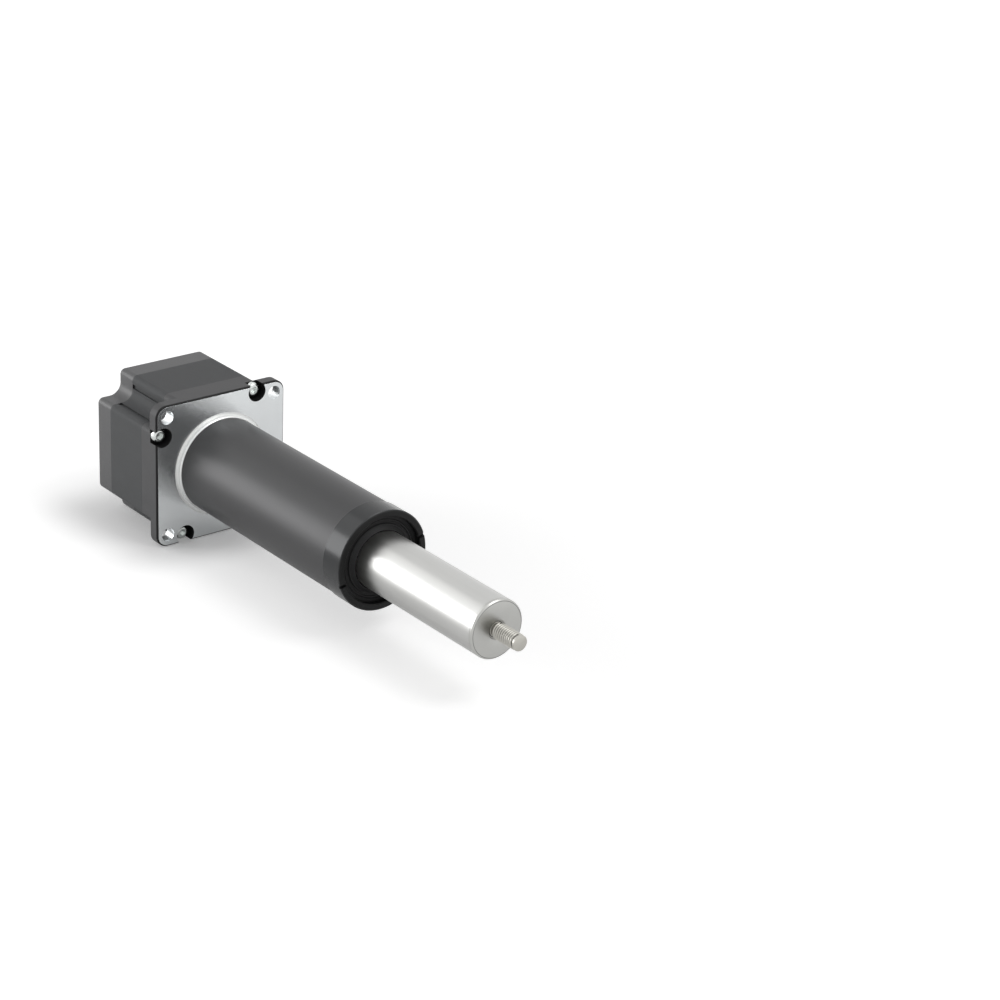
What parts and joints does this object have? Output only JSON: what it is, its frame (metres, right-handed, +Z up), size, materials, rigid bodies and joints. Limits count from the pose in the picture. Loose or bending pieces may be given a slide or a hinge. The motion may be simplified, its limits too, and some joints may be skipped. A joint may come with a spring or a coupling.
{
  "type": "lead screw linear actuator",
  "caption": "Motorised lead-screw actuator: a square-flanged stepper motor turns a lead screw that drives a keyed, hollow rod in and out of a collared cover tube.",
  "frame": {"origin": "on the screw axis, in the plane of the mounting flange's front face", "axes": "+X along the screw and rod, towards the stud; +Z up when the motor's flat side lies on a table"},
  "size_m": [0.2217, 0.0626, 0.0564],
  "materials": {
    "black_paint": "satin black enamel, machined bright on the front face",
    "stack_paint": "satin black enamel over laminations",
    "anodised": "dark grey satin anodising",
    "collar_black": "dark anodising",
    "rod_metal": "fine-turned and polished",
    "plug_metal": "fine-turned",
    "stud_steel": "bright zinc plating",
    "screw_plating": "nickel plating",
    "bearing_steel": "ground",
    "screw_steel": "rolled thread, bright",
    "rotor_steel": "stamped laminations",
    "magnet": "sintered magnet",
    "copper": "enamelled copper wire",
    "insulator": "moulded nylon",
    "nut_plastic": "self-lubricating acetal",
    "guide_plastic": "filled acetal",
    "header_plastic": "moulded nylon",
    "pin_metal": "tin plating",
    "rubber": "moulded nitrile"
  },
  "bodies": {
    "housing": {"front_end_bell": "black_paint", "stator_stack": "stack_paint", "pole_insulators": "insulator", "phase_coils": "copper", "rear_end_bell": "black_paint", "tie_screws": "screw_plating", "connector_header": "header_plastic", "connector_pins": "pin_metal", "front_bearing_outer": "bearing_steel", "rear_bearing_outer": "bearing_steel", "spring_washer": "bearing_steel", "cover_tube": "anodised", "front_collar": "collar_black", "guide_bush": "guide_plastic", "wiper_ring": "rubber", "front_bumper": "rubber", "rear_bumper": "rubber"},
    "rotor": {"lead_screw": "screw_steel", "front_bearing_inner": "bearing_steel", "rear_bearing_inner": "bearing_steel", "rotor_cup_front": "rotor_steel", "rotor_cup_rear": "rotor_steel", "rotor_magnet": "magnet", "rotor_spacer": "bearing_steel"},
    "rod": {"extension_rod": "rod_metal", "rod_end_plug": "plug_metal", "rod_stud": "stud_steel", "lead_nut": "nut_plastic", "guide_piston": "guide_plastic"}
  },
  "joints": [
    {"name": "rotor_spin", "type": "hinge", "parent": "housing", "child": "rotor", "pos_m": [0, 0, 0], "axis": [1, 0, 0], "range_deg": [-239.9, 959.9]},
    {"name": "rod_slide", "type": "slide", "parent": "housing", "child": "rod", "axis": [1, 0, 0], "range_m": [-0.0508, 0.0127]}
  ],
  "couplings": [
    {"joint": "rod_slide", "follows": "rotor_spin", "m_per_rad": -0.0030319}
  ]
}
